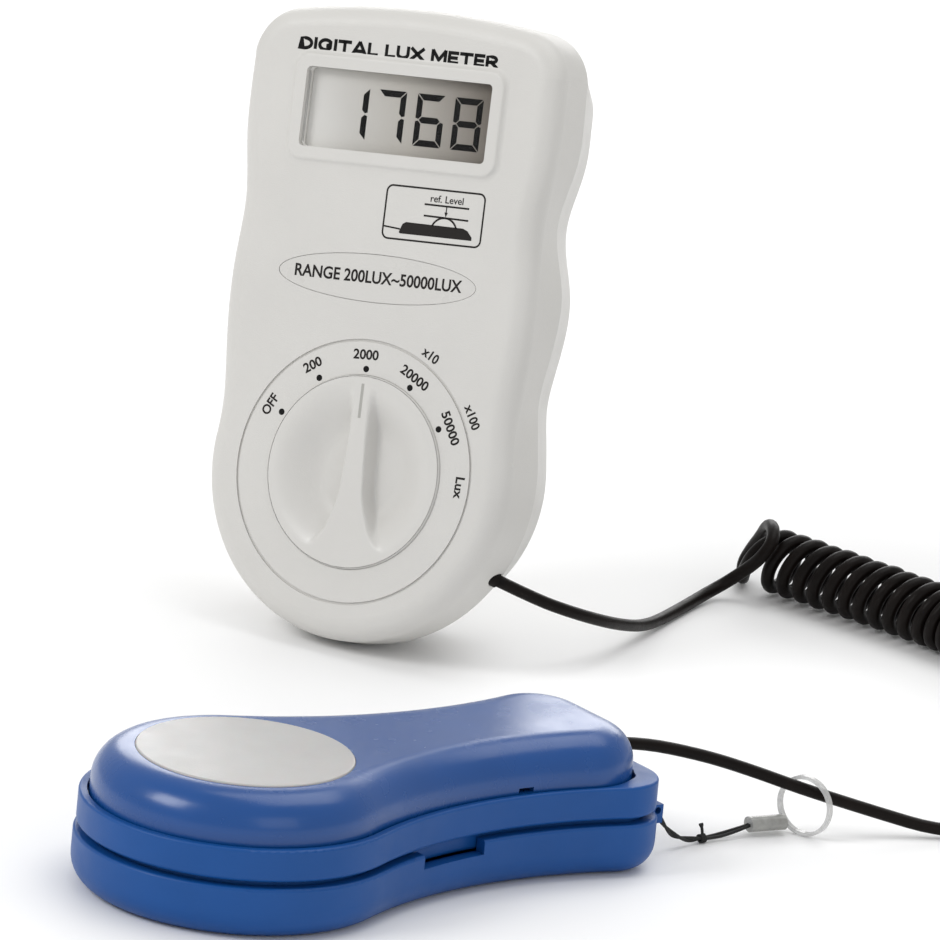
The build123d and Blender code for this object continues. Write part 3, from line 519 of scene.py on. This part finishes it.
DIAL_WORDS = [
    ("OFF", 22.0, 150.8, 4.1), ("200", 22.0, 120.9, 3.9), ("2000", 21.8, 91.0, 5.3),
    ("20000", 21.2, 60.8, 6.6), ("50000", 21.5, 27.7, 6.6), ("x10", 26.4, 60.3, 3.7),
    ("x100", 26.4, 28.2, 4.9), ("Lux", 22.3, -2.0, 4.0),
]
words = []
for text, radius, angle, width in DIAL_WORDS:
    turn = math.radians(angle)
    words.append(lettering(text, (radius * math.cos(turn), radius * math.sin(turn)), width, 1.9,
                           turn=angle - 90, bold=0.026))
joined("dial_scale", words, ink_soft, "base", "chip_plastic")
DOT_RING, DOT_R = 19.13, 0.6
dots = [arc(arc((0, 0), DOT_RING, angle, angle, 1)[0], DOT_R, 0, 345, 23) for angle in range(30, 151, 30)]
joined("scale_dots", [plates(dots)], ink, "base", "chip_plastic")

slab = [(3.3, 44.9), (3.6, 44.7), (18.6, 44.7), (18.6, 45.3), (17.6, 46.4), (16.6, 46.8),
        (4.6, 46.9), (3.9, 46.5)]
joined("reference_picture", [
    stroke(rounded_box(-0.1, 43.6, 20.5, 53.45, 1.2), 0.34, closed=True),
    stroke([(8.0, 50.55), (17.4, 50.5)], 0.34),
    stroke([(8.1, 48.45), (17.5, 48.3)], 0.34),
    stroke([(12.7, 50.4), (12.7, 48.9)], 0.22),
    plates([[(12.7, 48.5), (13.05, 49.4), (12.35, 49.4)], slab]),
    stroke(arc((12.6, 45.6), 2.75, 22, 158), 0.36),
    stroke([(0.0, 45.8), (3.5, 45.5)], 0.3),
    lettering("ref. Level", (12.6, 51.75), 6.9, 1.35, bold=0.012),
], ink_soft, "base", "chip_plastic")

# ---------------------------------------------------------------- digits on the display
DIGIT_W, DIGIT_H, BAR, GAP = 5.9, 9.75, 1.2, 0.13
DIGIT_SPOTS = [(-13.2, 61.1), (-5.4, 61.1), (2.8, 61.1), (10.75, 61.1)]
DISPLAY_FACE = -2.0


def segments(which, left, low):
    """Bars of one seven-segment figure, with mitred ends."""
    w, h, t, g, m = DIGIT_W, DIGIT_H, BAR, GAP, DIGIT_H / 2
    bars = {
        "a": [(g, h), (w - g, h), (w - t - g, h - t), (t + g, h - t)],
        "d": [(g, 0), (t + g, t), (w - t - g, t), (w - g, 0)],
        "g": [(t / 2 + g, m), (t + g, m + t / 2), (w - t - g, m + t / 2), (w - t / 2 - g, m),
              (w - t - g, m - t / 2), (t + g, m - t / 2)],
        "b": [(w, h - g), (w, m + g + 0.2), (w - t / 2, m + g), (w - t, m + t / 2 + g), (w - t, h - t - g)],
        "f": [(0, h - g), (t, h - t - g), (t, m + t / 2 + g), (t / 2, m + g), (0, m + g + 0.2)],
        "c": [(w, g), (w - t, t + g), (w - t, m - t / 2 - g), (w - t / 2, m - g), (w, m - g - 0.2)],
        "e": [(0, g), (0, m - g - 0.2), (t / 2, m - g), (t, m - t / 2 - g), (t, t + g)],
    }
    return [[(left + x, low + y) for x, y in bars[name]] for name in which]


FIGURES = ["bc", "abc", "acdefg", "abcdefg"]
bars = [bar for which, spot in zip(FIGURES, DIGIT_SPOTS) for bar in segments(which, *spot)]
joined("display_figures", [plates(bars, DISPLAY_FACE)], ink, "base", "chip_plastic")

# liner of the window's walls, which carries on the display's painted reflection, silver to dark
half_x, half_y = WINDOW_HALF
window = rounded_box(-half_x, WINDOW_MID - half_y, half_x, WINDOW_MID + half_y, 0.85)
rows = [(0.0, -1.98), (0.0, -0.4), (0.05, -0.4), (0.05, -1.98)]
liner_verts, liner_faces = [], []
for x, y in window:
    for inset, z in rows:
        inner_y = WINDOW_MID + (y - WINDOW_MID) * (1 - inset / half_y)
        liner_verts.append(at(x * (1 - inset / half_x), inner_y, z))
for i in range(len(window)):
    a, b = 4 * i, 4 * ((i + 1) % len(window))
    for k in range(4):
        m = (k + 1) % 4
        liner_faces.append((a + k, b + k, b + m, a + m))
piece("display_liner", liner_verts, liner_faces, LOOKS["lcd_glass"], "base", "lcd")

# ---------------------------------------------------------------- dial
KNOB_R, KNOB_TOP, KNOB_RIM, BOWL = 18.0, 0.5, 16.9, 3.4
BOWL_SLOPE = 9.5  # how far in from the rim the bowls reach their depth
KNOB_BACK, FLANGE_R, FLANGE_BACK = -2.5, 19.5, -4.3
# the rib's half width at places down the knob, from its pointing end
RIB = [(17.2, 1.9), (6.0, 2.0), (-5.0, 2.7), (-12.5, 5.4), (-15.2, 8.6), (-18.0, 14.0)]
EDGE_SOFT = 1.3
RINGS, SPOKES = 90, 216


def soft_step(value):
    """0 to 1 with level ends."""
    value = min(1.0, max(0.0, value))
    return value * value * (3 - 2 * value)


def rib_half_width(y):
    if y >= RIB[0][0]:
        return RIB[0][1]
    for (y1, w1), (y2, w2) in zip(RIB, RIB[1:]):
        if y >= y2:
            share = (y1 - y) / (y1 - y2)
            return w1 + (w2 - w1) * share
    return RIB[-1][1]


def knob_height(x, y):
    """The knob's top: a flat rim and rib, with a bowl on each side of the rib."""
    half = sum(rib_half_width(y + d) for d in (-2, -1, 0, 1, 2)) / 5
    beside = soft_step((abs(x) - half + EDGE_SOFT * 0.3) / EDGE_SOFT)
    r = math.hypot(x, y)
    bowl = BOWL * soft_step((KNOB_RIM - r) / BOWL_SLOPE) if r < KNOB_RIM else 0.0
    return KNOB_TOP - bowl * beside


knob_verts, knob_faces = [at(0, 0, KNOB_TOP)], []
profile = [(KNOB_R * (i + 1) / RINGS, None) for i in range(RINGS)]
profile[-1] = (KNOB_R - 0.3, None)
profile += [(KNOB_R - 0.09, KNOB_TOP - 0.09), (KNOB_R, KNOB_TOP - 0.3), (KNOB_R, KNOB_BACK),
            (FLANGE_R, KNOB_BACK), (FLANGE_R, FLANGE_BACK), (KNOB_R - 4, FLANGE_BACK)]
for radius, z in profile:
    for k in range(SPOKES):
        turn = 2 * math.pi * k / SPOKES
        x, y = radius * math.cos(turn), radius * math.sin(turn)
        knob_verts.append(at(x, y, knob_height(x, y) if z is None else z))
knob_faces += [(0, 1 + k, 1 + (k + 1) % SPOKES) for k in range(SPOKES)]
for i in range(len(profile) - 1):
    for k in range(SPOKES):
        a, b = 1 + i * SPOKES + k, 1 + i * SPOKES + (k + 1) % SPOKES
        knob_faces.append((a, a + SPOKES, b + SPOKES, b))
last = 1 + (len(profile) - 1) * SPOKES
knob_faces.append(tuple(range(last + SPOKES - 1, last - 1, -1)))
knob = piece("range_knob", knob_verts, knob_faces, knob_plastic, "dial", "case_plastic")
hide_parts("dial_knob")


# ---------------------------------------------------------------- the lead
METER_CABLE_ROUTE = [
    (-7.5, 65.4, 18.6), (-0.67, 72.67, 13.9), (3.73, 78.87, 11.1), (5.73, 86.77, 8.2),
    (5.23, 96.07, 5.2), (3.73, 106.37, 2.4), (2.23, 116.07, 1.3), (0.73, 129.37, 1.25),
    (0.5, 135.5, 1.7), (2.0, 139.9, 3.2),
]
COIL_ROUTE = [
    (1.23, 150.77, 6.5), (30.83, 145.97, 6.5), (60.33, 139.07, 6.5), (87.33, 128.57, 6.5),
    (109.33, 114.07, 6.5), (122.73, 100.07, 6.5),
]
SENSOR_CABLE_ROUTE = [
    (61.25, -5.49, 18.6), (63.83, 0.77, 18.0), (71.83, 10.47, 15.3), (78.23, 17.87, 12.2),
    (85.13, 24.57, 8.9), (95.23, 35.27, 4.4), (104.53, 42.67, 1.4), (116.33, 53.57, 1.25),
    (124.83, 65.57, 1.25), (128.63, 78.07, 1.25), (128.2, 89.5, 1.25),
]
CABLE_D = 2.3 * MM
WOUND_MORE = 0.13 * MM
COIL_R = 5.1 * MM
SEEN_COIL = 46 * MM  # the stretched part of the coil, which the camera sees
SEEN_PITCH = 3.75 * MM
REST_PITCH = 3.1 * MM
POINTS_PER_TURN = 16


def metres(route):
    return [Vector(p) * MM for p in route]


# the cable climbs in front of the coil, crosses over its end and makes one splayed loop:
# places in millimetres along the coil's axis, away from the viewer and above the axis
FIRST_LOOP = [
    (6.0, -8.6, 0.2), (8.6, -8.3, 3.0), (9.4, -6.4, 5.9), (6.6, -3.2, 7.4), (2.6, 0.2, 6.2),
    (0.2, 1.8, 3.2), (-2.6, 2.6, -0.4), (-3.9, 2.2, -3.4), (-2.6, 0.8, -5.0), (-0.6, -1.8, -4.9),
    (1.5, -4.2, -2.4), (3.2, -4.9, 0.8), (4.8, -3.4, 3.6),
]
FIRST_TOP = 5.3 * MM
COIL_LEAN = 1.1 * MM  # the turns' tops lean along the axis


def helix(axis, end_turn):
    """Control points of the coil round its axis line, from the splayed loop to the last turn."""
    reach = [0.0]
    for a, b in zip(axis, axis[1:]):
        reach.append(reach[-1] + (b - a).length)
    up = Vector((0, 0, 1))
    run = (axis[1] - axis[0]).normalized()
    points = [axis[0] + (run * along + up.cross(run) * away + up * rise) * MM
              for along, away, rise in FIRST_LOOP]
    step = 2 * math.pi / POINTS_PER_TURN
    along, turn, i = FIRST_TOP, math.pi, 0
    while along < reach[-1]:
        while reach[i + 1] < along:
            i += 1
        share = (along - reach[i]) / (reach[i + 1] - reach[i])
        run = (axis[i + 1] - axis[i]).normalized()
        wobble = 1 - 0.01 * (1 + math.sin(turn * 0.37)) - 0.008 * (1 + math.sin(turn * 0.61 + 1.0))
        spot = axis[i].lerp(axis[i + 1], share) - run * (COIL_LEAN * math.cos(turn))
        points.append(spot - up.cross(run) * (COIL_R * wobble * math.sin(turn))
                      - up * (COIL_R * wobble * math.cos(turn)))
        along += (SEEN_PITCH if along < SEEN_COIL else REST_PITCH) / POINTS_PER_TURN
        turn += step
    while abs((turn - end_turn) % (2 * math.pi)) > step:
        points.pop()
        turn -= step
    return points


coil_axis = smooth_line(metres(COIL_ROUTE))
coil = helix(coil_axis, math.radians(-60))
lead_points = metres(METER_CABLE_ROUTE) + coil + metres(reversed(SENSOR_CABLE_ROUTE))
lead_line = smooth_line(lead_points, 5)
coiled = [i for i, p in enumerate(lead_line) if p.y > 97 * MM and p.z > 1.6 * MM]


def lead_radius(i):
    """The lead is a little fuller where it is wound."""
    edge = min(i - coiled[0], coiled[-1] - i)
    return CABLE_D / 2 + WOUND_MORE * soft_step(edge / 60)


lead = piece("lead", *tube_mesh(lead_line, lead_radius), black_rubber, None, "black_rubber")
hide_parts("meter_cable", "curly_cord", "sensor_cable")
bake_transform(lead)

# ---------------------------------------------------------------- lanyard
LANYARD_ROUTE = [
    (78.73, 18.27, 2.0), (76.73, 13.47, 0.9), (74.93, 8.07, 0.7), (73.63, 1.67, 1.6), (72.83, -3.53, 5.0),
    (72.63, -6.73, 9.0),
]
STRAND_R = 0.30 * MM
lanyard_line = smooth_line(metres(reversed(LANYARD_ROUTE)), 16)
KNOT_AT = int(len(lanyard_line) * 0.60)
KNOT_R, KNOT_LENGTH = 0.62 * MM, 1.5 * MM
KNOT_STEPS, KNOT_TWIST = 48, 0.42
LOOP_REACH, LOOP_RISE, LOOP_APART = 0.75 * MM, 1.0 * MM, 0.35


def beside_strand(phase):
    """How far one of the two strands lies from the lanyard's line."""
    def place(i, side, up):
        past = (i - KNOT_AT) / (len(lanyard_line) - 1 - KNOT_AT)
        open_by = math.sin(math.pi * min(1.0, past)) if past > 0 else 0.0
        reach = (0.27 + 0.42 * open_by) * MM
        turn = phase + (min(i, KNOT_AT) - KNOT_AT) * 0.16
        return side * (reach * math.cos(turn)) + up * (reach * math.sin(turn))
    return place


def knot():
    """Three small turns round both strands, and the tail that stands out of them."""
    middle = lanyard_line[KNOT_AT]
    ahead = (lanyard_line[KNOT_AT + 1] - middle).normalized()
    side = Vector((0, 0, 1)).cross(ahead).normalized()
    up = ahead.cross(side)
    turns = [
        middle + ahead * ((k / KNOT_STEPS - 0.5) * KNOT_LENGTH)
        + (side * math.cos(k * KNOT_TWIST) + up * math.sin(k * KNOT_TWIST)) * KNOT_R
        for k in range(KNOT_STEPS + 1)
    ]
    tail = [middle + up * (d * MM) + side * (0.12 * d * d * MM) for d in (0.4, 0.9, 1.4, 1.9, 2.3, 2.6)]
    return [tube_mesh(turns, STRAND_R * 0.8, 10),
            tube_mesh(tail, lambda i: STRAND_R * (1.45 if i > 3 else 0.95), 10)]


def hitch():
    """The strands' loop through the eyelet and round its bar."""
    start = lanyard_line[0]
    ahead = (lanyard_line[1] - start).normalized()
    across = Vector((1, 0, 0))
    across = (across - ahead * across.dot(ahead)).normalized()
    loops = []
    for shift in (-LOOP_APART, LOOP_APART):
        centre = start + ahead * (0.1 * MM) + across * (shift * MM)
        ring = [
            centre + ahead * (LOOP_REACH * math.cos(t)) + Vector((0, 0, 1)) * (LOOP_RISE * math.sin(t))
            for t in (2 * math.pi * k / 28 for k in range(29))
        ]
        loops.append(tube_mesh(ring, STRAND_R, 10))
    return loops


strands = [tube_mesh(lanyard_line, STRAND_R, 10, beside_strand(phase)) for phase in (0, math.pi)]
lanyard = joined("lanyard_thread", strands, cord_fabric, "base", "cord_fabric", True)
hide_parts("lanyard")
lanyard_knot = joined("lanyard_knot", knot(), cord_fabric, "base", "cord_fabric", True)
lanyard_hitch = joined("lanyard_hitch", hitch(), cord_fabric, "base", "cord_fabric", True)

# ---------------------------------------------------------------- floor and light
floor = piece("floor", [(-7, -7, 0), (7, -7, 0), (7, 9, 0), (-7, 9, 0)], [(0, 1, 2, 3)],
              floor_paint())

bpy.context.scene.view_settings.view_transform = "Standard"
world = bpy.data.worlds.new("studio")
bpy.context.scene.world = world
world.use_nodes = True
world.node_tree.nodes["Background"].inputs["Color"].default_value = (1, 1, 1, 1)
world.node_tree.nodes["Background"].inputs["Strength"].default_value = 0.60


def soft_light(name, place, target, size, watts):
    """A large area light, in metres and watts."""
    data = bpy.data.lights.new(name, "AREA")
    data.shape = "RECTANGLE"
    data.size, data.size_y = size
    data.energy = watts
    light = bpy.data.objects.new(name, data)
    bpy.context.scene.collection.objects.link(light)
    light.location = place
    light.rotation_euler = (Vector(target) - Vector(place)).to_track_quat("-Z", "Y").to_euler()


soft_light("key", (-0.9, -1.3, 1.3), (0, 0, 0.05), (0.8, 0.8), 15)
soft_light("fill", (1.6, -1.0, 0.8), (0, 0, 0.05), (1.0, 1.0), 2.6)
soft_light("top", (0.2, 0.6, 1.6), (0, 0, 0), (1.2, 1.2), 9)
soft_light("back", (-0.7, 1.5, 0.62), (-0.03, -0.05, 0.02), (1.3, 0.6), 8)
